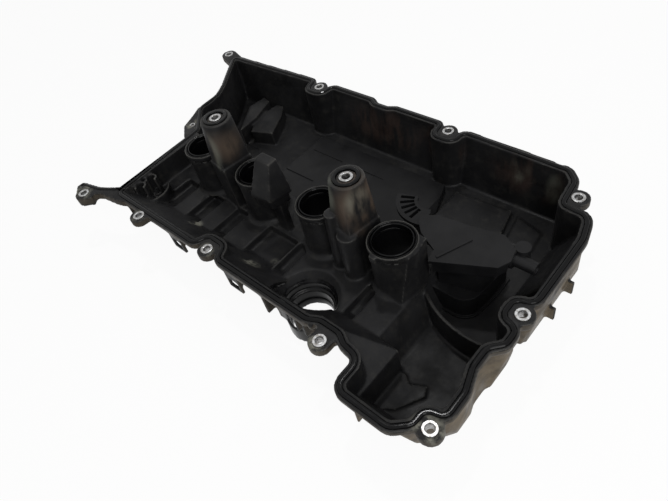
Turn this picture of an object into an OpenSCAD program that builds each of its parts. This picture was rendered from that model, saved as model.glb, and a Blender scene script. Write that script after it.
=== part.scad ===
/* [Plan] */
// Distance between neighbouring plug tubes
pitch = 84; // [70:1:100]
// Width of the cover over its flange
cover_width = 285; // [240:1:330]

/* [Heights] */
// Depth of the deep trough under the gasket face
trough_depth = 59; // [48:1:70]
// Depth of the raised middle band under the gasket face
band_depth = 27; // [22:1:32]
// Depth of the grooves between the pads under the gasket face
groove_depth = 36; // [33:1:40]
// Height of the plug tubes over the gasket face
tube_rise = 26; // [18:1:34]
// Height of the two tall columns over the gasket face
column_rise = 72.7; // [60:0.5:85]
// Height of the deflector post over the gasket face
post_rise = 64; // [50:1:75]

/* [Walls and rim] */
// Thickness of the moulded walls and floors
wall = 3; // [2:0.5:4]
// Thickness of the gasket flange
flange_t = 7; // [5:0.5:9]
// Width of the gasket bead
gasket_w = 4.5; // [3.5:0.5:5.5]
// Depth of the gasket groove
groove_t = 2; // [1.5:0.5:3]
// Height of the gasket bead over the flange face
gasket_proud = 1; // [0.5:0.25:1.5]
// Flat rim inside the gasket
inner_land = 2.5; // [1.5:0.5:3.5]
// Flat rim outside the gasket
outer_land = 2.25; // [1.5:0.25:5]

/* [Tubes and bolts] */
// Outer radius of the plug tube rim
tube_r = 22; // [20:0.5:24]
// Wall of the plug tube rim round its seal
tube_lip = 1.5; // [1:0.25:2.5]
// Width of the plug tube seals
seal_w = 3.7; // [3:0.1:5]
// Outer radius of the metal bushings
bushing_r = 6; // [5:0.25:7]
// Bolt hole radius in the metal bushings
bolt_r = 3.5; // [3:0.25:4]
// Radius of the flange lugs
lug_r = 10; // [9:0.5:12]
// Outer radius of the round seals on the columns
column_seal_r = 11.6; // [10.5:0.1:12.5]

/* [Oil filler] */
// Clear radius of the oil filler hole
filler_r = 20; // [18:0.5:22]

/* [View] */
// Node to show

/* [Hidden] */
$fn = 64;

ux = pitch / 84;
uy = cover_width / 285;
foot = 3;
low = foot + wall;
face = low + trough_depth;
band = face - band_depth;
bay = face - groove_depth;
tube_z = face + tube_rise;
column_z = face + column_rise;
post_z = face + post_rise;
inner_off = gasket_w / 2 + inner_land;
outer_off = gasket_w / 2 + outer_land;
skin_off = 1;
seal_r = tube_r - tube_lip;
seal_bore_r = seal_r - seal_w;
thin_off = 3;
filler_z = 19;
pocket_x = 148.5 * ux;
fold_x0 = 104 * ux;
fold_x1 = 170 * ux;
fold_y = -57.5 * uy;

nylon = "#26282a";
rubber = "#0b0b0c";
metal = "#b9bcc0";

tube_x = [-1.5 * pitch, -0.5 * pitch, 0.5 * pitch, 1.5 * pitch];
column_x = [-pitch, pitch];
column_y = 2.6 * uy;

// Flange bolts in order round the cover, from the near left lug
bolts = [
  [-224, -112], [-133, -97], [-31, -86], [126, -97], [234, -103.5],
  [238, 9], [217, 140], [68, 165], [-115.5, 165], [-292, 168]
];
tab_bolt = [-207, 34.5];

// Arm of the near left bolt and gusset of the small left bolt
arm = [
  [-243, -110], [-242.5, -103], [-239, -100.5], [-231, -99], [-215, -95], [-201, -87.5], [-190, -80],
  [-178, -82], [-164, -90], [-171, -95], [-179, -97.5], [-192, -99.5], [-203, -101], [-209, -104], [-214, -112],
  [-222, -121], [-233, -117]
];
gusset = [[-230, 62], [-222, 45], [-215, 27], [-197, 13], [-189, 20], [-189, 32], [-222, 62]];
// Side branch of the gasket along the arm
branch = [
  [-242, -107], [-239.5, -102], [-229.5, -100.2], [-213.8, -96.2], [-200.4, -88.8], [-185.6, -80],
  [-185.6, -83.6], [-199, -91.6], [-213, -99.2], [-229.3, -103.2], [-237.5, -104.6], [-239.3, -108]
];

// Corners of the gasket line: x, y, fillet radius, and 1 where the edge that follows has a narrow rim
rim = [
  [-186, -89, 7, 0], [-49, -88, 7, 0], [-43, -73.5, 9, 0], [-20, -73.5, 9, 0], [-13, -88.5, 8, 0],
  [103, -88, 12, 0], [114, -82.5, 12, 0], [134, -82.5, 12, 0], [143, -88, 10, 0], [162, -91, 11, 0],
  [162, -119.5, 9, 0], [211, -119.5, 10, 0], [223, -108, 8, 0], [223, -94, 8, 0], [238, -91, 7, 0],
  [238, -68, 14, 0], [231.5, -48, 16, 0], [231.5, -30, 12, 0], [241, -20, 8, 0], [241, -5, 8, 0],
  [226, 0, 8, 0], [226, 18, 8, 0], [241, 23, 9, 0], [240.5, 98, 24, 0], [234, 124, 12, 0],
  [209, 126, 7, 0], [205.5, 157.5, 12, 0], [194.5, 168, 9, 0], [83, 170.5, 7, 0], [81, 152, 9, 0],
  [57, 152, 9, 0], [55, 172, 7, 0], [-5, 172, 9, 0], [-14, 167.5, 8, 0], [-31, 167.5, 8, 0],
  [-40, 173, 9, 0], [-101, 173, 7, 0], [-104, 154, 9, 0], [-127, 154, 9, 0], [-131, 172.5, 7, 0],
  [-279, 166, 5, 1], [-238, 111, 30, 1], [-227.5, 92, 24, 1], [-226.5, 62, 14, 1], [-193, 31, 7, 1]
];

function at(q) = [q[0] * ux, q[1] * uy];
function scaled(p) = [for (q = p) [q[0] * ux, q[1] * uy, q[2], q[3]]];
function xy(q) = [q[0], q[1]];
function unit(v) = v / norm(v);
function heading(p, i) = unit(xy(p[(i + 1) % len(p)]) - xy(p[i]));
function outward(p, i) = let (u = heading(p, i)) [u[1], -u[0]];
function shift(p, i, d) = p[i][3] == 1 ? max(-thin_off, min(thin_off, d)) : d;
function meet(p, i, d) =
  let (
    j = (i + len(p) - 1) % len(p),
    a = outward(p, j),
    b = outward(p, i),
    ha = a * xy(p[i]) + shift(p, j, d),
    hb = b * xy(p[i]) + shift(p, i, d),
    c = a[0] * b[1] - a[1] * b[0]
  )
  [(ha * b[1] - hb * a[1]) / c, (a[0] * hb - b[0] * ha) / c];
function turned(v, w) = [v[0] * cos(w) - v[1] * sin(w), v[0] * sin(w) + v[1] * cos(w)];
function fillet(p, i, d) =
  let (
    j = (i + len(p) - 1) % len(p),
    u = heading(p, j),
    v = heading(p, i),
    side = u[0] * v[1] - u[1] * v[0] > 0 ? 1 : -1,
    turn = acos(max(-1, min(1, u * v))),
    r = max(0.8, p[i][2] + side * shift(p, i, d)),
    left = [-u[1], u[0]] * side,
    start = meet(p, i, d) - u * r * tan(turn / 2),
    centre = start + left * r,
    n = max(2, ceil(turn / 20))
  )
  [for (k = [0:n]) centre - turned(left * r, side * turn * k / n)];
function rounded(p, d) = [for (i = [0:len(p) - 1]) each fillet(p, i, d)];

line = scaled(rim);

mid_x = (bolts[5][0] + bolts[9][0]) * ux / 2;
mid_y = ((bolts[9][1] + rim[11][1]) * uy + lug_r - outer_off) / 2;

// Sets the middle of the outline over the origin
module placed() {
  translate([-mid_x, -mid_y, 0])
    children();
}

module rim_prism(d, z0, z1) {
  translate([0, 0, z0])
    linear_extrude(z1 - z0)
      polygon(rounded(line, d));
}

// Extrudes a profile given as y and z along x
module along_x(x0, x1, profile) {
  translate([x0, 0, 0])
    rotate([90, 0, 90])
      linear_extrude(x1 - x0)
        polygon(profile);
}

// Extrudes a profile given as x and z along y
module along_y(y0, y1, profile) {
  translate([0, y1, 0])
    rotate([90, 0, 0])
      linear_extrude(y1 - y0)
        polygon(profile);
}

module slab(x0, x1, y0, y1, z0, z1) {
  translate([x0, y0, z0])
    cube([x1 - x0, y1 - y0, z1 - z0]);
}

module plate(points, z0, z1) {
  translate([0, 0, z0])
    linear_extrude(z1 - z0)
      polygon([for (q = points) at(q)]);
}

module rod(x, y, r, z0, z1) {
  translate([x, y, z0])
    cylinder(r = r, h = z1 - z0);
}

// Body below the flange, before it is hollowed
module outer_body() {
  intersection() {
    rim_prism(skin_off, foot, face);
    union() {
      intersection() {
        along_x(-300 * ux, 260 * ux, [[24 * uy, foot], [161 * uy, foot], [176 * uy, face], [24 * uy, face]]);
        along_y(20 * uy, 180 * uy, [[-300 * ux, foot], [237 * ux, foot], [246 * ux, face], [-300 * ux, face]]);
      }
      intersection() {
        along_x(144 * ux, 260 * ux, [[-97 * uy, foot], [30 * uy, foot], [30 * uy, face], [-121 * uy, face]]);
        along_y(-130 * uy, 40 * uy, [
          [160 * ux, foot], [235 * ux, foot], [246 * ux, face], [pocket_x - wall, face], [pocket_x - wall, band - wall],
          [pocket_x + 10.5 * ux - wall, low + 5]
        ]);
        translate([228 * ux, -88 * uy, 0])
          rotate([0, 0, -35])
            along_y(-150, 150, [[-150, 0], [-2, foot], [12, face - 20], [50, face], [-150, face]]);
      }
      bench_body();
    }
  }
}

// Raised middle band with its sloping front wall
module bench_body() {
  along_x(-190 * ux, 152 * ux, [
    [-92 * uy, face], [-92 * uy, face - 4], [-61 * uy, band - wall], [30 * uy, band - wall], [30 * uy, face]
  ]);
}

module hollow() {
  intersection() {
    rim_prism(-inner_off, low - 1, face + 1);
    union() {
      intersection() {
        along_x(-300 * ux, 240 * ux, [
          [27 * uy, low], [158 * uy, low], [169 * uy, face], [169 * uy, face + 1], [27 * uy, face + 1]
        ]);
        along_y(0, 180 * uy, [
          [-290 * ux, low], [224 * ux, low], [238 * ux, face], [238 * ux, face + 1], [-290 * ux, face + 1]
        ]);
      }
      intersection() {
        along_x(pocket_x, 240 * ux, [
          [-96 * uy, low], [30 * uy, low], [30 * uy, face + 1], [-117 * uy, face + 1], [-117 * uy, face]
        ]);
        along_y(-130 * uy, 40 * uy, [
          [pocket_x + 15.5 * ux, low], [224 * ux, low], [238 * ux, face], [238 * ux, face + 1],
          [pocket_x, face + 1], [pocket_x, band], [pocket_x + 10.5 * ux, low + 6]
        ]);
      }
      difference() {
        slab(fold_x0, fold_x1 - 1, -117 * uy, fold_y - 1, band - 1, face + 1);
        fold_block(0, low);
      }
      along_x(-184 * ux, 152 * ux, [
        [-86 * uy, face + 1], [-86 * uy, face], [-58 * uy, band], [30 * uy, band], [30 * uy, face + 1]
      ]);
    }
  }
}

// Shelf beside the near pocket: its roof is two flat faces that meet along a fold.
// Fills from the roof, moved by dz, down to the level z
module fold_block(dz, z) {
  intersection() {
    along_x(fold_x0, fold_x1, [
      [fold_y, z], [fold_y, band + dz], [-86 * uy, face + dz], [-118 * uy, face + dz], [-118 * uy, z]
    ]);
    along_y(-118 * uy, fold_y, [[fold_x0, z], [fold_x0, face + dz], [fold_x1, band + dz], [fold_x1, z]]);
  }
}

module shelf() {
  intersection() {
    fold_block(0, low - 1);
    rim_prism(-inner_off + 1, low - 1, face - 1);
  }
}

// Hollow under the shelf, open at the bottom
module shelf_cut() {
  intersection() {
    fold_block(-wall, -2);
    union() {
      slab(fold_x0 - 1, pocket_x - wall - 1, -93 * uy, fold_y - wall - 2, -1, face - flange_t);
      slab(pocket_x - wall - 2, fold_x1 - wall, -85 * uy, fold_y - wall, -1, face - flange_t);
    }
  }
}

grooves = [[-164, -143], [-120, -98], [-75, -57], [-25, 33], [108, 119]];

module groove_skin() {
  for (g = grooves)
    along_x(g[0] * ux - wall, g[1] * ux + wall, [
      [-62 * uy, band], [-50 * uy, bay - wall], [-14 * uy, bay - wall], [-14 * uy, band]
    ]);
}

module groove_cut() {
  for (g = grooves)
    along_x(g[0] * ux, g[1] * ux, [
      [-59 * uy, band + 1], [-49 * uy, bay], [-17 * uy, bay], [-17 * uy, band + 1]
    ]);
}

module tube(x) {
  rod(x, 0, tube_r - 1, band - wall, tube_z - 1);
  rod(x, 0, tube_r, tube_z - 6, tube_z);
  translate([x, 0, band - 0.5])
    cylinder(r1 = tube_r + 3.5, r2 = tube_r - 1, h = 4.5);
}

module tube_cut(x) {
  rod(x, 0, seal_bore_r + 1, band - wall - 30, tube_z + 1);
  rod(x, 0, seal_r, tube_z - 8, tube_z + 1);
}

// Foot of a column, grown by d
module column_foot(x, d, z0, z1) {
  translate([x, column_y, z0])
    linear_extrude(z1 - z0)
      polygon([[10.5 + d, -19.5 - d], [16 + d, 12 + d], [-12 - d, 19 + d], [-14 - d, -15 - d]]);
}

module column(x) {
  hull() {
    rod(x, column_y, column_seal_r + 3.4, column_z - 3, column_z);
    column_foot(x, 0, tube_z - 1, tube_z);
  }
  column_foot(x, 1.3, bay - 1, tube_z - 1);
}

module column_cut(x) {
  difference() {
    rod(x, column_y, column_seal_r, column_z - 4, column_z + 1);
    rod(x, column_y, bushing_r + 2.5, column_z - 5, column_z - 0.5);
  }
  rod(x, column_y, bushing_r, column_z - 24, column_z + 1);
  rod(x, column_y, bolt_r + 1, band - 10, column_z + 1);
}

// Oil deflector: a hood on a set back stem, with a darker collar under its edge
module post() {
  hull() {
    plate([[-19.5, -27.5], [3.5, -24.5], [10.5, -1], [-14, -2]], tube_z - 2, tube_z + 1);
    slab(-13 * ux, 6 * ux, -14 * uy, -4 * uy, post_z - 3, post_z);
  }
  plate([[-17.5, -25.5], [2, -23], [8, -3], [-14, -4]], tube_z - 12, tube_z - 1);
  slab(-14 * ux, 0, -13 * uy, -5 * uy, band - 1, tube_z - 11);
}

// Round lug joined to the rim by a straight sided neck
module bolt_lug(b, r, neck, tip, t) {
  c = at(b);
  w = at(tip) - c;
  n = [-w[1], w[0]] / norm(w) * neck;
  rod(c[0], c[1], r, face - t, face);
  translate([0, 0, face - t])
    linear_extrude(t)
      polygon([c + n, c - n, c + w - n, c + w + n]);
}

lug_roots = [
  [-215, -104], [-133, -84], [-31, -80], [126, -88], [229, -98],
  [232, 9], [212, 136], [68, 158], [-115.5, 159], [-266, 160]
];

module flange() {
  difference() {
    rim_prism(outer_off, face - flange_t, face);
    slab(180 * ux, 187.5 * ux, 169.4 * uy + gasket_w / 2, 200 * uy, face - flange_t - 1, face + 1);
  }
  for (i = [0:9])
    bolt_lug(bolts[i], lug_r, lug_r, lug_roots[i], i == 0 ? 11 : 8);
  plate(arm, face - 9, face);
  plate(gusset, face - 4, face);
}

// Floor shapes of the deep side of the cover
module floor_shapes() {
  plate([[93, 96], [93, 140], [155, 144], [162, 112], [150, 94]], low - 1, low + 7);
  plate([[168, 108], [162, 144], [191, 136], [194, 110]], low - 1, low + 2);
  plate([[-217, 125], [-213, 149], [-200, 146], [-189.5, 112], [-188.4, 82.4]], low - 1, low + 25);
  plate([[-197, 117], [-192, 150], [-181, 152], [-167.5, 134.6], [-152, 103], [-181, 92.7]], low - 1, low + 19);
  intersection() {
    along_y(50 * uy, 120 * uy, [
      [208 * ux, low - 1], [242 * ux, low - 1], [242 * ux, face - 14], [234 * ux, face - 14], [208 * ux, low + 2]
    ]);
    rim_prism(-inner_off + 1, low - 1, face - 10);
  }
  plate([[169, -60], [176, -60], [183, -65], [196, -58], [200, -67], [187, -90], [169, -101]], low - 1, low + 2.5);
}

function arc(c, r, a, b, n) = [for (k = [0:n]) c + r * [cos(a + (b - a) * k / n), sin(a + (b - a) * k / n)]];

// Curved web between the near pocket and the floor behind it
module web() {
  plate(concat(arc([206, 76], 91.5, 221, 280, 14), arc([206, 76], 88.5, 280, 221, 14)), low - 1, low + 27);
}

// Stiffening wedge on the last plug tube
module buttress() {
  x = tube_x[3];
  intersection() {
    slab(x, x + 26, -30 * uy, 20 * uy, band - 1, tube_z - 3);
    along_x(x, x + 30, [[-21.4 * uy, band - 1], [18 * uy, band - 1], [18 * uy, tube_z], [-8 * uy, tube_z]]);
    plate([[x / ux, -24], [x / ux + 19, -24], [x / ux + 24, 1], [x / ux + 21, 18], [x / ux, 18]], band - 1, tube_z);
  }
  translate([x, 0, 0])
    rotate([0, 0, 264])
      slab(tube_r - 1.5, tube_r + 3, -3.5, 3.5, tube_z - 7, tube_z - 0.5);
}

module small_ribs() {
  slab(17 * ux, 19 * ux, -58 * uy, -17 * uy, bay - 1, band);
  translate([column_x[1] - 12, column_y - 15, bay - 1])
    cylinder(r1 = 9, r2 = 6.5, h = tube_z - bay + 14);
  rod(column_x[1] + 5.5, column_y - 17.6, 9.5, bay - 1, tube_z - 2);
  for (y = [-67, -52])
    difference() {
      rod(-178 * ux, y * uy, 7, band - 1, face - 3);
      rod(-178 * ux, y * uy, 4.5, band + 4, face);
      slab(-178 * ux, -160 * ux, y * uy - 8, y * uy, band + 4, face);
    }
  plate(concat(arc([-177, -58], 21, -42, 62, 8), arc([-177, -58], 18.5, 62, -42, 8)), band - 1, band + 12);
}

// Hooks and brackets that hang under the flange for the wiring
module bracket(x, y, w, drop) {
  difference() {
    slab(x - w / 2, x + w / 2, y, y + 3, face - drop, face - 2);
    slab(x - w / 2 + 3.5, x + w / 2 - 3.5, y - 1, y + 4, face - drop + 3.5, face - drop + 14);
  }
  slab(x - w / 2, x - w / 2 + 3, y, y + 12, face - drop + 10, face - 2);
  slab(x + w / 2 - 3, x + w / 2, y, y + 12, face - drop + 10, face - 2);
}

module outer_details() {
  bracket(-83 * ux, -92 * uy, 20, 28);
  bracket(5 * ux, -92 * uy, 20, 31);
  slab(47 * ux, 50 * ux, -92 * uy, -82 * uy, face - 33, face - 2);
  for (x = [88, 98, 108])
    slab(x * ux, x * ux + 3, -92 * uy, -80 * uy, face - 26, face - 2);
  slab(86 * ux, 112 * ux, -86 * uy, -83 * uy, face - 26, face - 2);
  slab(-168 * ux, -165 * ux, -93 * uy, -80 * uy, face - 20, face - 2);
  for (y = [52, 84])
    slab(234 * ux, 246 * ux, y * uy, y * uy + 3, face - 56, face - 40);
}

filler_at = at([70, -62]);

module filler_body() {
  intersection() {
    union() {
      rod(filler_at[0], filler_at[1], filler_r + 9.5, filler_z - 3, band);
      translate([filler_at[0], filler_at[1], band - 9 - wall])
        cylinder(r1 = filler_r + 9.5, r2 = filler_r + 15, h = 9 + wall);
    }
    slab(filler_at[0] - 40, filler_at[0] + 33, -83 * uy, 0, 0, band);
  }
  rod(filler_at[0], filler_at[1], filler_r + 4, 0, filler_z);
}

module filler_cut() {
  intersection() {
    union() {
      rod(filler_at[0], filler_at[1], filler_r + 7, filler_z + 8, band + 30);
      rod(filler_at[0], filler_at[1], filler_r + 5, filler_z, band + 30);
      translate([filler_at[0], filler_at[1], band - 9])
        cylinder(r1 = filler_r + 7, r2 = filler_r + 12, h = 9.1);
    }
    slab(filler_at[0] - 40, filler_at[0] + 33, -80 * uy, 0, 0, face + 30);
  }
  rod(filler_at[0], filler_at[1], filler_r + 1.5, 8, band);
  rod(filler_at[0], filler_at[1], filler_r, -1, band);
}

module cover_shell() {
  color(nylon)
    placed()
      difference() {
        union() {
          difference() {
            union() {
              outer_body();
              flange();
              groove_skin();
              outer_details();
            }
            hollow();
            groove_cut();
          }
          shelf();
          filler_body();
          for (x = tube_x)
            tube(x);
          for (x = column_x)
            column(x);
          post();
          floor_shapes();
          web();
          buttress();
          small_ribs();
        }
        for (x = tube_x)
          tube_cut(x);
        for (x = column_x)
          column_cut(x);
        filler_cut();
        shelf_cut();
        plate(branch, face - groove_t, face + 1);
        slab(-197 * ux, -169 * ux, 97 * uy, 100 * uy, low - 1.5, low + 1);
        slab(-194 * ux, -166 * ux, 84 * uy, 87 * uy, low - 1.5, low + 1);
        difference() {
          rim_prism(gasket_w / 2, face - groove_t, face + 1);
          rim_prism(-gasket_w / 2, face - groove_t - 1, face + 2);
        }
        for (b = bolts)
          rod(b[0] * ux, b[1] * uy, bushing_r, face - 12, face + 1);
        rod(tab_bolt[0] * ux, tab_bolt[1] * uy, 3.5, face - 12, face + 1);
      }
}

module perimeter_gasket() {
  color(rubber)
    placed()
      difference() {
        union() {
          rim_prism(gasket_w / 2, face - groove_t, face + gasket_proud);
          plate(branch, face - groove_t, face + gasket_proud - 0.3);
        }
        rim_prism(-gasket_w / 2, face - groove_t - 1, face + gasket_proud + 1);
      }
}

module tube_seal(i) {
  color(rubber)
    placed()
      translate([tube_x[i], 0, 0])
        rotate_extrude()
          polygon([
            [seal_bore_r, tube_z - 6], [seal_r, tube_z - 8], [seal_r, tube_z - 0.5],
            [seal_r - seal_w * 0.27, tube_z - 0.5], [seal_r - seal_w * 0.49, tube_z - 3],
            [seal_r - seal_w * 0.7, tube_z - 0.3], [seal_r - seal_w * 0.9, tube_z - 0.3], [seal_bore_r, tube_z - 1.5]
          ]);
}

module spark_tube_seal_1() tube_seal(0);
module spark_tube_seal_2() tube_seal(1);
module spark_tube_seal_3() tube_seal(2);
module spark_tube_seal_4() tube_seal(3);

module ring(x, y, inner, outer, z0, z1, c) {
  color(c)
    placed()
      difference() {
        rod(x, y, outer, z0, z1);
        rod(x, y, inner, z0 - 1, z1 + 1);
      }
}

module column_seal(i) ring(column_x[i], column_y, bushing_r + 2.5, column_seal_r, column_z - 4, column_z + 0.8, rubber);
module column_seal_1() column_seal(0);
module column_seal_2() column_seal(1);

module column_bushing(i) ring(column_x[i], column_y, bolt_r, bushing_r, column_z - 24, column_z + 0.4, metal);
module column_bushing_1() column_bushing(0);
module column_bushing_2() column_bushing(1);

module flange_bushing(i) ring(bolts[i][0] * ux, bolts[i][1] * uy, bolt_r, bushing_r, face - 9, face + 0.5, metal);
module flange_bushing_1() flange_bushing(0);
module flange_bushing_2() flange_bushing(1);
module flange_bushing_3() flange_bushing(2);
module flange_bushing_4() flange_bushing(3);
module flange_bushing_5() flange_bushing(4);
module flange_bushing_6() flange_bushing(5);
module flange_bushing_7() flange_bushing(6);
module flange_bushing_8() flange_bushing(7);
module flange_bushing_9() flange_bushing(8);
module flange_bushing_10() flange_bushing(9);
module tab_bushing() ring(tab_bolt[0] * ux, tab_bolt[1] * uy, 2, 3.5, face - 4.5, face + 0.4, metal);

sep_z = face + 6;

// Oil separator lid with its skirt and outlet spout
module separator_cover() {
  color(nylon)
    placed() {
      difference() {
        union() {
          plate([
            [153, 9], [203, 33], [208, 44], [205, 57], [190, 66], [160, 60], [132, 57], [117, 49], [122, 40], [130, 32],
            [150, 22]
          ], sep_z - 3, sep_z);
          plate([
            [155, 11.5], [201, 35], [205, 44], [202, 55], [189, 63], [160, 58], [133, 55], [124, 49], [132, 34],
            [151, 33]
          ], sep_z - 15, sep_z - 2);
          intersection() {
            rod(166 * ux, 44 * uy, 26, low + 25, sep_z - 14);
            plate([[153, 20.6], [192, 30], [192, 62], [140, 62], [140, 30], [153, 28]], low + 25, sep_z - 14);
          }
          translate([202 * ux, 55 * uy, sep_z - 10])
            rotate([0, 90, 0])
              cylinder(r = 8.5, h = 4);
          translate([196 * ux, 55 * uy, sep_z - 10])
            rotate([0, 90, 0])
              cylinder(r = 5.6, h = 29);
          rod(208 * ux, 63 * uy, 6.5, sep_z - 12, sep_z - 1);
        }
        translate([215 * ux, 55 * uy, sep_z - 10])
          rotate([0, 90, 0])
            cylinder(r = 3.8, h = 30);
      }
      plate([[155.5, 16.5], [157.5, 15.5], [171.5, 47], [169.5, 48]], sep_z - 1, sep_z + 1);
    }
}

// Outline of the drain chamber, grown by d
function chamber(d) = concat(
  [[150 - d, 13.5 - d]], arc([174, 30], 16.5 + d, 270, 345, 6), [[192.5 + d, 52], [192 + d, 70 + d], [150 - d, 70 + d]]
);

// Rounded drain chamber under the separator, cut back where it meets the wall of the cover
module separator_chamber() {
  color(nylon)
    placed()
      intersection() {
        difference() {
          union() {
            plate(chamber(0), low, low + 25);
            plate(chamber(2.5), low, low + 2);
          }
          plate(chamber(-wall), low - 1, low + 22);
        }
        hollow();
      }
}

// Flat oil baffle over the deep trough
module centre_baffle() {
  color(nylon)
    placed()
      difference() {
        intersection() {
          plate([[-98, 138], [80, 139], [92, 103], [92, 60], [60, 36], [-98, 36]], low, low + 10);
          along_y(30 * uy, 145 * uy, [[-98 * ux, low], [92 * ux, low], [92 * ux, low + 2], [85 * ux, low + 10], [-98 * ux, low + 10]]);
        }
        plate([[-94, 135], [77, 136], [85, 102], [85, 63], [58, 40], [-94, 40]], low - 1, low + 7);
        for (x = [-90, -30])
          slab(x * ux, (x + 46) * ux, 112 * uy, 113.2 * uy, low + 9, low + 11);
        slab(-96 * ux, -52 * ux, 69.5 * uy, 70.8 * uy, low + 9, low + 11);
      }
}

fan = [112, 73.5];

// Slot of the fan, as a strip along the angle a
function strip(a, r0, r1, w) =
  let (u = [cos(a), sin(a)], n = [-sin(a), cos(a)] * w / 2)
  [fan + u * r0 - n, fan + u * r1 - n, fan + u * r1 + n, fan + u * r0 + n];

// Fan of slots beside the separator
module vent_grille() {
  color(nylon)
    placed()
      difference() {
        union() {
          intersection() {
            plate(concat(arc(fan, 13, 195, 300, 8), arc(fan, 33, 300, 195, 12)), sep_z - 8, sep_z - 4.5);
            slab(60 * ux, 121 * ux, 30 * uy, 90 * uy, sep_z - 9, sep_z);
          }
          plate([[97, 57], [101, 57], [101, 66], [97, 66]], low, sep_z - 7);
        }
        for (a = [203, 218, 233, 248, 263])
          plate(strip(a, 16, 29, 3.4), sep_z - 9, sep_z);
      }
}

cover_shell();
perimeter_gasket();
spark_tube_seal_1();
spark_tube_seal_2();
spark_tube_seal_3();
spark_tube_seal_4();
column_seal_1();
column_seal_2();
column_bushing_1();
column_bushing_2();
flange_bushing_1();
flange_bushing_2();
flange_bushing_3();
flange_bushing_4();
flange_bushing_5();
flange_bushing_6();
flange_bushing_7();
flange_bushing_8();
flange_bushing_9();
flange_bushing_10();
tab_bushing();
separator_cover();
separator_chamber();
centre_baffle();
vent_grille();
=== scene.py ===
"""Engine valve cover lying open side up: mouldings, seals and bushings with their finishes, on a pale floor."""

import math

import bpy
from mathutils import Matrix, Vector
from mathutils.bvhtree import BVHTree


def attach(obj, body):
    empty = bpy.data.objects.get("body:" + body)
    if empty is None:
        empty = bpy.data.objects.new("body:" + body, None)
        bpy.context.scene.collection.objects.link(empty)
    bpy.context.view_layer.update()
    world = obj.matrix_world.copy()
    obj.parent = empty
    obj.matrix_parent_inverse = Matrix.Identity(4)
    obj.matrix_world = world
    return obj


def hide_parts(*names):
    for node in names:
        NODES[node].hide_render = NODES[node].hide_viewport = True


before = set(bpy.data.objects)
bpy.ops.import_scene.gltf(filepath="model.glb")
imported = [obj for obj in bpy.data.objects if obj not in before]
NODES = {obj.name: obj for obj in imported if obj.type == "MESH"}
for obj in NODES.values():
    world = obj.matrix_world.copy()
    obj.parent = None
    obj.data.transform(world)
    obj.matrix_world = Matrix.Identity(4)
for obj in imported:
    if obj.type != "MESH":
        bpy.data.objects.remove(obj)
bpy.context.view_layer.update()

bl_info = {
    "name": "Engine valve cover",
    "version": (1, 0, 0),
    "blender": (4, 5, 0),
    "location": "View3D > Sidebar > Valve cover",
    "description": "Builds the moulded cover, its seals, bushings, finishes and the studio stage",
    "category": "Object",
}

# Lengths and places are in metres in the frame's axes, and tones are sRGB hex
MM = 0.001
UP = Vector((0, 0, 1))

# Height of the gasket face, and how far below it the side of the rim gathers dust
FACE_Z = 0.065
RIM_DEPTH = 0.009

# Middle of the row of plug tubes and the distance between two of them
PLUG_ROW = (0.027, -0.027, 0.0)
TUBE_PITCH = 0.084

# How dark the plug tubes and the oil filler are painted inside, for oil and for painted shade in the bores
TUBE_OIL_AND_SHADE = 1.0
FILLER_OIL_AND_SHADE = 0.6

# Bores as x, y, radius and how dark they are painted, for oil and painted shade
BORES = [(PLUG_ROW[0] + TUBE_PITCH * (i - 1.5), PLUG_ROW[1], 0.0195, TUBE_OIL_AND_SHADE) for i in range(4)]
BORES.append((0.097, -0.089, 0.0275, FILLER_OIL_AND_SHADE))

# Stains as (middle, half sizes) in millimetres about the middle of the plug tube row: tan varnish on the columns,
# black oil with painted shade under the post's hood, on its stem and in the hooks, red brown runs on the deep wall,
# grey smears and pale dust
TAN = [
    ((-84, 0, 112), (22, 24, 30)), ((92, 2, 112), (22, 26, 36)), ((112, 60, 66), (16, 16, 10)),
    ((-196, -60, 50), (14, 14, 18)),
]
# Painted shade: a black oil tone laid under the post's hood, on its stem and in the hooks, where shade falls
DARK_OIL_AND_SHADE = [((-4, -14, 81), (32, 30, 10)), ((-7, -9, 62), (12, 10, 20)), ((-165, -40, 44), (20, 20, 10))]
RUST = [((165, 172, 42), (62, 24, 34)), ((-20, 165, 40), (70, 20, 30)), ((60, 165, 46), (40, 20, 24))]
GREY = [
    ((74, -8, 122), (12, 10, 22)), ((-82, -15, 108), (11, 14, 26)), ((150, 172, 46), (14, 22, 26)),
    ((100, -4, 120), (14, 16, 20)), ((186, 172, 40), (12, 22, 24)),
]
PALE = [
    ((3, -68, 42), (13, 9, 12)), ((9, -45, 36), (11, 8, 10)), ((-96, -62, 40), (10, 10, 8)),
    ((234, -105, 64), (17, 14, 8)), ((-228, -112, 64), (18, 14, 10)), ((-133, -97, 64), (11, 11, 8)),
    ((126, -99, 64), (11, 11, 8)), ((-31, -88, 64), (11, 11, 8)), ((-206, 36, 64), (12, 14, 6)),
]

# Share of a stain's radius over which it fades out
STAIN_FADE = 0.6

# Dust on the outside: light up to DUST_X, full from DUST_RUN further right, and thin on the side of the rim
DUST_LIGHT = 0.3
DUST_X = 0.1
DUST_RUN = 0.08
RIM_DUST = 0.35

# A face is outside where its normal's z is below SIDE_Z, and faces the floor below FLOOR_Z
SIDE_Z = 0.3
FLOOR_Z = -0.7

# Rays that look for the floor start this far off the skin, and this far on along the ray
SKIN_LIFT = 0.0012
RAY_LIFT = 0.0004

# Mean outward bend where the painted edge highlight starts, and how fast it grows with the bend
HIGHLIGHT_START = 0.1
HIGHLIGHT_GAIN = 5

# Points closer than this are one point
JOIN = 1e-6

# Triangles left on the moulded skin
SKIN_FACES = 190000

# Edge radii of the rubber and metal parts
GASKET_ROUND = 0.0019
SEAL_ROUND = 0.0008
BUSHING_ROUND = 0.0005

# Lamps as name, place, size and the stage setting that holds the power
LAMPS = (
    ("overhead lamp", (-0.087, 0.251, 1.3), 0.09, "key"),
    ("side lamp", (1.0, -0.42, 0.87), 0.9, "side"),
)

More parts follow.
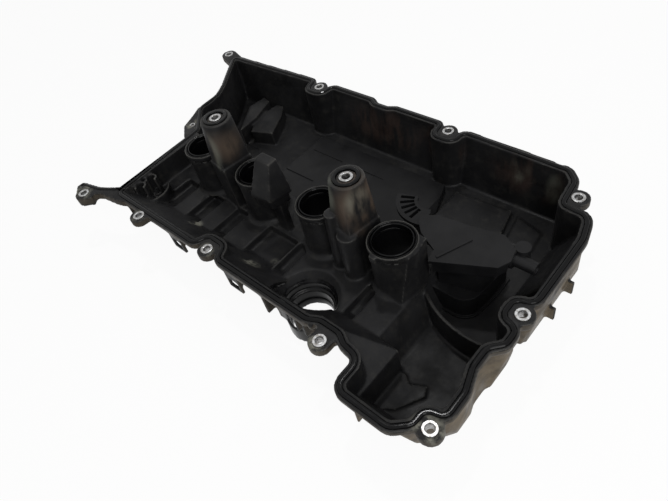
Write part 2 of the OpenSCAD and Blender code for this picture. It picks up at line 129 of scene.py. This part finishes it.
# Floor and sky tones, and how much of the floor that is looked at is plain white
FLOOR_SIZE = 12
FLOOR_TONE = "#e8e8e8"
FLOOR_WHITE = 0.93
SKY_TONE = "#f7f6f4"
WHITE = (1, 1, 1, 1)

# Camera fitted to the photo: what it looks at, how far off it is, and its angles in degrees
CAMERA_TARGET = Vector((0.1204, -0.0625, 0.091))
CAMERA_DISTANCE = 0.4454
CAMERA_TILT = 47.74
CAMERA_SWING = 53.57
CAMERA_ROLL = -15.94


def linear(code):
    """sRGB hex to linear colour."""
    values = [int(code[i : i + 2], 16) / 255 for i in (1, 3, 5)]
    return [v / 12.92 if v <= 0.04045 else ((v + 0.055) / 1.055) ** 2.4 for v in values] + [1.0]


def add_node(tree, kind, settings=None, inputs=None, links=None):
    """Adds one node; links maps an input to (node, output)."""
    made = tree.nodes.new(kind)
    for key, value in (settings or {}).items():
        setattr(made, key, value)
    for key, value in (inputs or {}).items():
        made.inputs[key].default_value = value
    for key, (source, output) in (links or {}).items():
        tree.links.new(source.outputs[output], made.inputs[key])
    return made


def vector_node(tree, operation, source, output, value=None):
    """Vector operation on a node's output, with a fixed second vector where it takes one."""
    inputs = {1: value} if value else None
    return add_node(tree, "ShaderNodeVectorMath", {"operation": operation}, inputs, {0: (source, output)})


def math_node(tree, operation, a, b, clamp=False):
    """a and b are numbers or (node, output)."""
    made = add_node(tree, "ShaderNodeMath", {"operation": operation, "use_clamp": clamp})
    for i, v in enumerate((a, b)):
        if isinstance(v, tuple):
            tree.links.new(v[0].outputs[v[1]], made.inputs[i])
        else:
            made.inputs[i].default_value = v
    return made


def mix(tree, factor, a, b):
    """Colour mix; a and b are hex strings or (node, output); factor is a (node, output)."""
    made = add_node(tree, "ShaderNodeMix", {"data_type": "RGBA"})
    for i, v in ((0, factor), (6, a), (7, b)):
        if isinstance(v, str):
            made.inputs[i].default_value = linear(v)
        else:
            tree.links.new(v[0].outputs[v[1]], made.inputs[i])
    return made


def ramp(tree, source, stops):
    """Eased ramp over a node's Fac; stops are (place, grey)."""
    made = add_node(tree, "ShaderNodeValToRGB", None, None, {"Fac": (source, "Fac")})
    made.color_ramp.interpolation = "EASE"
    elements = made.color_ramp.elements
    while len(elements) < len(stops):
        elements.new(0.5)
    for element, (place, grey) in zip(elements, stops):
        element.position = place
        element.color = [grey, grey, grey, 1]
    return made


def noise(tree, place, scale, detail, rough, stretch=None):
    """Noise whose scale counts features per metre."""
    vector = vector_node(tree, "MULTIPLY", place, "Vector", stretch) if stretch else place
    inputs = {"Scale": scale, "Detail": detail, "Roughness": rough}
    return add_node(tree, "ShaderNodeTexNoise", None, inputs, {"Vector": (vector, "Vector")})


def mark(tree, name):
    """Reads one of the marks that mark_skin stores."""
    return add_node(tree, "ShaderNodeAttribute", {"attribute_name": name})


def blob(tree, place, centre, radius):
    """Soft round patch in millimetres about the middle of the plug tube row."""
    centre = [c * MM + o for c, o in zip(centre, PLUG_ROW)]
    moved = vector_node(tree, "SUBTRACT", place, "Vector", centre)
    scaled = vector_node(tree, "MULTIPLY", moved, "Vector", [1 / (r * MM) for r in radius])
    far = vector_node(tree, "LENGTH", scaled, "Vector")
    return add_node(
        tree,
        "ShaderNodeMapRange",
        {"interpolation_type": "SMOOTHSTEP"},
        {"From Min": 1.0, "From Max": 1.0 - STAIN_FADE, "To Min": 0.0, "To Max": 1.0},
        {"Value": (far, "Value")},
    )


def stain(tree, place, below, tone, strength, places, pattern):
    """Lays a tone over the colour below, at the places and broken up by the pattern."""
    total = None
    for where in places:
        one = blob(tree, place, *where)
        total = one if total is None else math_node(tree, "MAXIMUM", (total, 0), (one, 0))
    shaped = math_node(tree, "MULTIPLY", (total, 0), (pattern, 0))
    amount = math_node(tree, "MULTIPLY", (shaped, 0), strength, True)
    return mix(tree, (amount, 0), (below, 2), tone)


def fresh_material(name):
    """New material with a Principled shader, and the object coordinates that its patterns read."""
    material = bpy.data.materials.new(name)
    material.use_nodes = True
    tree = material.node_tree
    tree.nodes.clear()
    shader = add_node(tree, "ShaderNodeBsdfPrincipled")
    add_node(tree, "ShaderNodeOutputMaterial", None, None, {"Surface": (shader, "BSDF")})
    coords = add_node(tree, "ShaderNodeTexCoord")
    place = add_node(tree, "ShaderNodeMapping", None, None, {"Vector": (coords, "Object")})
    return material, tree, shader, place


def bump(tree, shader, height, strength, distance):
    """Fine relief from a noise."""
    inputs = {"Strength": strength, "Distance": distance}
    made = add_node(tree, "ShaderNodeBump", None, inputs, {"Height": (height, "Fac")})
    tree.links.new(made.outputs["Normal"], shader.inputs["Normal"])


# Glass filled nylon, injection moulded and run in hot oil: near black charcoal with a dull broken sheen,
# tan varnish and grey smears on the columns and the deep wall, pale oil on the bench, beige dust on the outside,
# painted highlights on outward edges, black oil with painted shade under the post's hood and in the hooks, and bores
# painted near black for oil and painted shade
def oily_nylon(settings):
    material, tree, shader, place = fresh_material("oily moulded nylon")
    broad = noise(tree, place, 16, 5, 0.62)
    fine = noise(tree, place, 110, 6, 0.62)
    clouds = ramp(tree, broad, [(0.32, 0.0), (0.7, 1.0)])
    smears = ramp(tree, fine, [(0.48, 0.0), (0.72, 0.5)])
    base = mix(tree, (clouds, "Color"), settings["deep"], settings["pale"])
    base = mix(tree, (smears, "Color"), (base, 2), settings["film"])
    # Painted highlight: edges that bend outward are painted lighter
    edge_highlight = math_node(tree, "MULTIPLY", (mark(tree, "edge"), "Fac"), 0.8, True)
    base = mix(tree, (edge_highlight, 0), (base, 2), settings["edge_highlight"])

    runs = ramp(tree, noise(tree, place, 75, 5, 0.62, (1.0, 1.0, 0.2)), [(0.42, 0.0), (0.62, 1.0)])
    spots = ramp(tree, noise(tree, place, 95, 5, 0.6), [(0.44, 0.0), (0.6, 1.0)])
    washes = ramp(tree, noise(tree, place, 42, 4, 0.55, (1.0, 1.0, 0.4)), [(0.34, 0.0), (0.58, 1.0)])
    oil_and_shade_pools = ramp(tree, broad, [(0.1, 0.8), (0.9, 1.0)])
    for tone, strength, places, pattern in (
        ("#66574a", 0.75, TAN, washes),
        ("#42342e", 0.4, RUST, runs),
        ("#686a61", 0.6, GREY, washes),
        # Black oil and painted shade under the post's hood, on its stem and in the hooks
        (settings["rubber"], 0.95, DARK_OIL_AND_SHADE, oil_and_shade_pools),
        ("#8c8b80", 0.65, PALE, spots),
    ):
        base = stain(tree, place, base, tone, strength, places, pattern)

    speck = ramp(tree, noise(tree, place, 60, 6, 0.65), [(0.34, 0.45), (0.62, 1.0)])
    dusty = math_node(tree, "MULTIPLY", (mark(tree, "outside"), "Fac"), (speck, 0), True)
    base = mix(tree, (dusty, 0), (base, 2), settings["dust"])
    bore = mark(tree, "bore")
    # Painted shade: the bores are painted the near black rubber tone, for oil and for the shade deep inside them
    base = mix(tree, (bore, "Fac"), (base, 2), settings["rubber"])
    tree.links.new(base.outputs[2], shader.inputs["Base Color"])

    wet = ramp(tree, noise(tree, place, 26, 6, 0.62), [(0.38, 0.4), (0.68, 0.68)])
    oiled = ramp(tree, bore, [(0.0, 1.0), (FILLER_OIL_AND_SHADE, 0.4), (TUBE_OIL_AND_SHADE, 1.0)])
    rough = math_node(tree, "MULTIPLY", (wet, 0), (oiled, 0))
    tree.links.new(rough.outputs[0], shader.inputs["Roughness"])
    sheen = ramp(tree, bore, [(0.0, 0.14), (FILLER_OIL_AND_SHADE, 0.14), (TUBE_OIL_AND_SHADE, 0.015)])
    tree.links.new(sheen.outputs[0], shader.inputs["Specular IOR Level"])
    bump(tree, shader, noise(tree, place, 800, 3, 0.6), 0.15, 0.0004)
    return material


# The same nylon inside the separator parts, cleaner and a little smoother
def baffle_nylon(settings):
    material, tree, shader, place = fresh_material("oil wetted baffle nylon")
    clouds = ramp(tree, noise(tree, place, 20, 5, 0.6), [(0.32, 0.0), (0.75, 0.7)])
    base = mix(tree, (clouds, "Color"), "#0f0f10", settings["pale"])
    tree.links.new(base.outputs[2], shader.inputs["Base Color"])
    wet = ramp(tree, noise(tree, place, 35, 5, 0.6), [(0.35, 0.3), (0.7, 0.58)])
    tree.links.new(wet.outputs[0], shader.inputs["Roughness"])
    shader.inputs["Specular IOR Level"].default_value = 0.12
    bump(tree, shader, noise(tree, place, 600, 3, 0.6), 0.1, 0.0004)
    return material


# Nitrile rubber, moulded: near black, wet with oil, so it throws small sharp highlights
def wet_rubber(settings):
    material, tree, shader, place = fresh_material("wet moulded rubber")
    tone = mix(tree, (noise(tree, place, 60, 4, 0.6), "Fac"), settings["rubber"], "#0b0b0c")
    tree.links.new(tone.outputs[2], shader.inputs["Base Color"])
    wet = ramp(tree, noise(tree, place, 50, 4, 0.6), [(0.35, 0.07), (0.72, 0.24)])
    tree.links.new(wet.outputs[0], shader.inputs["Roughness"])
    shader.inputs["Specular IOR Level"].default_value = 0.13
    bump(tree, shader, noise(tree, place, 150, 2, 0.5), 0.06, 0.0005)
    return material


# Turned aluminium sleeve: bright with a faint darker cloud of oil
def turned_aluminium(settings):
    material, tree, shader, place = fresh_material("turned aluminium")
    cloud = ramp(tree, noise(tree, place, 500, 3, 0.6), [(0.35, 0.0), (0.7, 1.0)])
    tone = mix(tree, (cloud, "Color"), settings["metal"], "#7d7a75")
    tree.links.new(tone.outputs[2], shader.inputs["Base Color"])
    shader.inputs["Metallic"].default_value = 1.0
    shader.inputs["Roughness"].default_value = 0.36
    return material


def set_material(obj, material):
    obj.data.materials.clear()
    obj.data.materials.append(material)


def only(obj):
    """Selects one object and nothing else."""
    bpy.ops.object.select_all(action="DESELECT")
    obj.select_set(True)
    bpy.context.view_layer.objects.active = obj


def moulded_copy(node, name):
    """Merged copy of a CAD node's mesh, free of the frame's marks."""
    only(NODES[node])
    bpy.ops.object.duplicate()
    made = bpy.context.view_layer.objects.active
    made.name = made.data.name = name
    for key in list(made.keys()):
        if key.startswith("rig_"):
            del made[key]
    made.parent = None
    bpy.ops.object.mode_set(mode="EDIT")
    bpy.ops.mesh.select_all(action="SELECT")
    bpy.ops.mesh.remove_doubles(threshold=JOIN)
    bpy.ops.object.mode_set(mode="OBJECT")
    return made


def add_modifier(obj, kind, name, **values):
    modifier = obj.modifiers.new(name, kind)
    for key, value in values.items():
        setattr(modifier, key, value)


def soften(obj, width, segments=2, clamp=True):
    """Rounds the edges of a CAD node."""
    add_modifier(obj, "WELD", "joined faces", merge_threshold=JOIN)
    add_modifier(
        obj,
        "BEVEL",
        "moulded edge",
        width=width,
        segments=segments,
        limit_method="ANGLE",
        angle_limit=math.radians(35),
        use_clamp_overlap=clamp,
        harden_normals=False,
    )


def outside_dust(point, normal, in_bore, tree):
    """Dust on one point of the skin: none where something lies below it, or inside a bore."""
    start = point + normal * SKIN_LIFT
    hidden = in_bore or normal.z >= SIDE_Z
    if hidden or tree.ray_cast(start - UP * RAY_LIFT, -UP)[0] is not None:
        return 0.0
    if normal.z < FLOOR_Z or tree.ray_cast(start + UP * RAY_LIFT, UP)[0] is not None:
        along = min(1.0, max(0.0, (point.x - DUST_X) / DUST_RUN))
        return DUST_LIGHT + (1 - DUST_LIGHT) * along
    return RIM_DUST if point.z > FACE_Z - RIM_DEPTH else 0.0


def edge_highlights(mesh, points, normals):
    """Painted edge highlight on each point: 0 on flat and inward places, and up to 1 where the skin bends outward."""
    bend = [0.0] * len(points)
    count = [0] * len(points)
    for edge in mesh.edges:
        a, b = edge.vertices
        for i, j in ((a, b), (b, a)):
            bend[i] += normals[i].dot((points[i] - points[j]).normalized())
            count[i] += 1
    return [min(1.0, max(0.0, (b / max(n, 1) - HIGHLIGHT_START) * HIGHLIGHT_GAIN)) for b, n in zip(bend, count)]


def mark_skin(obj):
    """Stores marks on the skin: outside, where dust lies, bore, where oil and painted shade darken the bores, and edge,
    where it bends outward and gets a painted highlight.
    """
    mesh = obj.data
    points = [v.co.copy() for v in mesh.vertices]
    normals = [v.normal.copy() for v in mesh.vertices]
    tree = BVHTree.FromPolygons(points, [p.vertices[:] for p in mesh.polygons])
    bores = [max(oil if math.hypot(p.x - x, p.y - y) < r else 0.0 for x, y, r, oil in BORES) for p in points]
    outside = [outside_dust(p, n, bore, tree) for p, n, bore in zip(points, normals, bores)]
    edges = edge_highlights(mesh, points, normals)
    for name, values in (("outside", outside), ("bore", bores), ("edge", edges)):
        attribute = mesh.attributes.new(name, "FLOAT", "POINT")
        attribute.data.foreach_set("value", values)


class CoverFinish(bpy.types.PropertyGroup):
    """Colours and sizes of the cover's finishes."""

    deep: bpy.props.StringProperty(name="Deep tone", description="Darkest nylon tone, sRGB hex", default="#111112")
    pale: bpy.props.StringProperty(name="Pale tone", description="Lightest nylon tone, sRGB hex", default="#1d1d1e")
    film: bpy.props.StringProperty(name="Oil film", description="Dried oil film, sRGB hex", default="#2b2a28")
    dust: bpy.props.StringProperty(name="Dust", description="Dust on the outside, sRGB hex", default="#5f5546")
    # Painted highlight on outward bending edges
    edge_highlight: bpy.props.StringProperty(name="Painted edge highlight", description="Tone of the painted highlight on outward edges, sRGB hex", default="#4c4b48")
    rubber: bpy.props.StringProperty(name="Rubber", description="Seal tone, sRGB hex", default="#060607")
    metal: bpy.props.StringProperty(name="Metal", description="Bushing tone, sRGB hex", default="#b2b3b4")
    grid: bpy.props.FloatProperty(
        name="Skin grid", description="Grid of the moulded skin", default=0.0012, min=0.0006, max=0.003, unit="LENGTH"
    )
    edge: bpy.props.FloatProperty(
        name="Edge radius", description="Radius on the edges of the separator parts and the baffle", default=0.0009,
        min=0.0002, max=0.002, unit="LENGTH"
    )


class StageSettings(bpy.types.PropertyGroup):
    """Light and lens."""

    key: bpy.props.FloatProperty(name="Key", description="Power of the overhead lamp", default=3.5, min=0, unit="POWER")
    side: bpy.props.FloatProperty(
        name="Side", description="Power of the wide side lamp", default=9.0, min=0, unit="POWER"
    )
    sky: bpy.props.FloatProperty(name="Sky", description="Strength of the plain sky", default=0.45, min=0)
    lens: bpy.props.FloatProperty(name="Lens", description="Focal length in millimetres", default=29.36, min=10)


def finish_values():
    """The finishes' tones by name."""
    settings = bpy.context.scene.cover_finish
    return {key: getattr(settings, key) for key in ("deep", "pale", "film", "dust", "edge_highlight", "rubber", "metal")}


class COVER_OT_shell(bpy.types.Operator):
    """Moulded shell with soft edges"""

    bl_idname = "cover.shell"
    bl_label = "Cover shell"

    def execute(self, context):
        grid = context.scene.cover_finish.grid
        shell = moulded_copy("cover_shell", "moulded_shell")
        add_modifier(shell, "REMESH", "skin", mode="VOXEL", voxel_size=grid, adaptivity=0.0, use_smooth_shade=True)
        add_modifier(shell, "SMOOTH", "soft edges", factor=0.5, iterations=3)
        bpy.ops.object.modifier_apply(modifier="skin")
        bpy.ops.object.modifier_apply(modifier="soft edges")
        triangles = len(shell.data.polygons) * 2
        add_modifier(shell, "DECIMATE", "fewer faces", ratio=min(1.0, SKIN_FACES / triangles))
        bpy.ops.object.modifier_apply(modifier="fewer faces")
        mark_skin(shell)
        bpy.ops.object.shade_smooth()
        set_material(shell, oily_nylon(finish_values()))
        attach(shell, "root")
        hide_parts("cover_shell")
        return {"FINISHED"}


class COVER_OT_inner_parts(bpy.types.Operator):
    """Separator, baffle and grille"""

    bl_idname = "cover.inner_parts"
    bl_label = "Separator and baffle"

    def execute(self, context):
        material = baffle_nylon(finish_values())
        edge = context.scene.cover_finish.edge
        for name in ("separator_cover", "separator_chamber", "centre_baffle", "vent_grille"):
            node = NODES[name]
            soften(node, edge if name != "vent_grille" else edge / 3)
            set_material(node, material)
        return {"FINISHED"}


class COVER_OT_seals(bpy.types.Operator):
    """Gasket and round seals"""

    bl_idname = "cover.seals"
    bl_label = "Seals"

    def execute(self, context):
        material = wet_rubber(finish_values())
        for name, node in NODES.items():
            if "gasket" in name:
                soften(node, GASKET_ROUND, segments=5, clamp=False)
                set_material(node, material)
            elif "seal" in name:
                soften(node, SEAL_ROUND, segments=4)
                set_material(node, material)
        return {"FINISHED"}


class COVER_OT_bushings(bpy.types.Operator):
    """Metal sleeves"""

    bl_idname = "cover.bushings"
    bl_label = "Bushings"

    def execute(self, context):
        material = turned_aluminium(finish_values())
        for name, node in NODES.items():
            if "bushing" in name:
                soften(node, BUSHING_ROUND)
                set_material(node, material)
        return {"FINISHED"}


def looked_at(tree):
    """1 for camera, glossy and transmission rays, which see plain white, and 0 for the light that falls."""
    path = add_node(tree, "ShaderNodeLightPath")
    seen = math_node(tree, "ADD", (path, "Is Camera Ray"), (path, "Is Glossy Ray"))
    return math_node(tree, "ADD", (seen, 0), (path, "Is Transmission Ray"), True)


def add_floor():
    bpy.ops.object.select_all(action="DESELECT")
    bpy.ops.mesh.primitive_plane_add(size=FLOOR_SIZE, location=(0, 0, 0))
    floor = bpy.context.active_object
    floor.name = "floor"
    material = bpy.data.materials.new("pale floor")
    material.use_nodes = True
    tree = material.node_tree
    tree.nodes.clear()
    diffuse = add_node(tree, "ShaderNodeBsdfDiffuse", None, {"Color": linear(FLOOR_TONE)})
    white = add_node(tree, "ShaderNodeEmission", None, {"Color": WHITE, "Strength": 1.0})
    share = math_node(tree, "MULTIPLY", (looked_at(tree), 0), FLOOR_WHITE)
    mixed = add_node(tree, "ShaderNodeMixShader", None, None, {0: (share, 0), 1: (diffuse, 0), 2: (white, 0)})
    add_node(tree, "ShaderNodeOutputMaterial", None, None, {"Surface": (mixed, 0)})
    set_material(floor, material)


def add_sky(scene, strength):
    world = bpy.data.worlds.new("studio")
    scene.world = world
    world.use_nodes = True
    tree = world.node_tree
    tree.nodes.clear()
    sky = add_node(tree, "ShaderNodeBackground", None, {"Color": linear(SKY_TONE), "Strength": strength})
    plain = add_node(tree, "ShaderNodeBackground", None, {"Color": WHITE, "Strength": 1.0})
    links = {0: (looked_at(tree), 0), 1: (sky, 0), 2: (plain, 0)}
    mixed = add_node(tree, "ShaderNodeMixShader", None, None, links)
    add_node(tree, "ShaderNodeOutputWorld", None, None, {"Surface": (mixed, 0)})


def add_lamp(scene, name, place, size, power):
    """Round area lamp that points at the origin."""
    light = bpy.data.lights.new(name, "AREA")
    light.shape = "DISK"
    light.size = size
    light.energy = power
    lamp = bpy.data.objects.new(name, light)
    scene.collection.objects.link(lamp)
    lamp.location = place
    lamp.rotation_euler = lamp.location.to_track_quat("Z", "Y").to_euler()


def add_camera(scene, lens):
    camera = bpy.data.cameras.new("camera")
    camera.lens = lens
    camera.sensor_width = 36
    camera.clip_start = 0.01
    seat = bpy.data.objects.new("camera", camera)
    scene.collection.objects.link(seat)
    tilt, swing, roll = (math.radians(angle) for angle in (CAMERA_TILT, CAMERA_SWING, CAMERA_ROLL))
    back = Vector((math.sin(swing) * math.cos(tilt), -math.cos(swing) * math.cos(tilt), math.sin(tilt)))
    side = UP.cross(back).normalized()
    rise = back.cross(side)
    right = side * math.cos(roll) + rise * math.sin(roll)
    up = rise * math.cos(roll) - side * math.sin(roll)
    turn = Matrix((right, up, back)).transposed().to_4x4()
    turn.translation = CAMERA_TARGET + back * CAMERA_DISTANCE
    seat.matrix_world = turn
    scene.camera = seat


class COVER_OT_stage(bpy.types.Operator):
    """Floor, sky, lamps and camera"""

    bl_idname = "cover.stage"
    bl_label = "Stage"

    def execute(self, context):
        scene = context.scene
        settings = scene.cover_stage
        add_floor()
        add_sky(scene, settings.sky)
        for name, place, size, power in LAMPS:
            add_lamp(scene, name, place, size, getattr(settings, power))
        add_camera(scene, settings.lens)
        scene.view_settings.view_transform = "Standard"
        return {"FINISHED"}


class COVER_PT_panel(bpy.types.Panel):
    """Lists the builders"""

    bl_idname = "COVER_PT_panel"
    bl_label = "Valve cover"
    bl_space_type = "VIEW_3D"
    bl_region_type = "UI"
    bl_category = "Valve cover"

    def draw(self, context):
        for group in (context.scene.cover_finish, context.scene.cover_stage):
            for key in group.bl_rna.properties.keys():
                if key not in ("rna_type", "name"):
                    self.layout.prop(group, key)
        for operator in OPERATORS:
            self.layout.operator(operator.bl_idname)


OPERATORS = (COVER_OT_shell, COVER_OT_inner_parts, COVER_OT_seals, COVER_OT_bushings, COVER_OT_stage)
CLASSES = (CoverFinish, StageSettings) + OPERATORS + (COVER_PT_panel,)


def register():
    for cls in CLASSES:
        bpy.utils.register_class(cls)
    bpy.types.Scene.cover_finish = bpy.props.PointerProperty(type=CoverFinish)
    bpy.types.Scene.cover_stage = bpy.props.PointerProperty(type=StageSettings)


def unregister():
    del bpy.types.Scene.cover_finish
    del bpy.types.Scene.cover_stage
    for cls in reversed(CLASSES):
        bpy.utils.unregister_class(cls)


def main():
    register()
    bpy.ops.cover.shell()
    bpy.ops.cover.inner_parts()
    bpy.ops.cover.seals()
    bpy.ops.cover.bushings()
    bpy.ops.cover.stage()


if __name__ == "__main__":
    main()
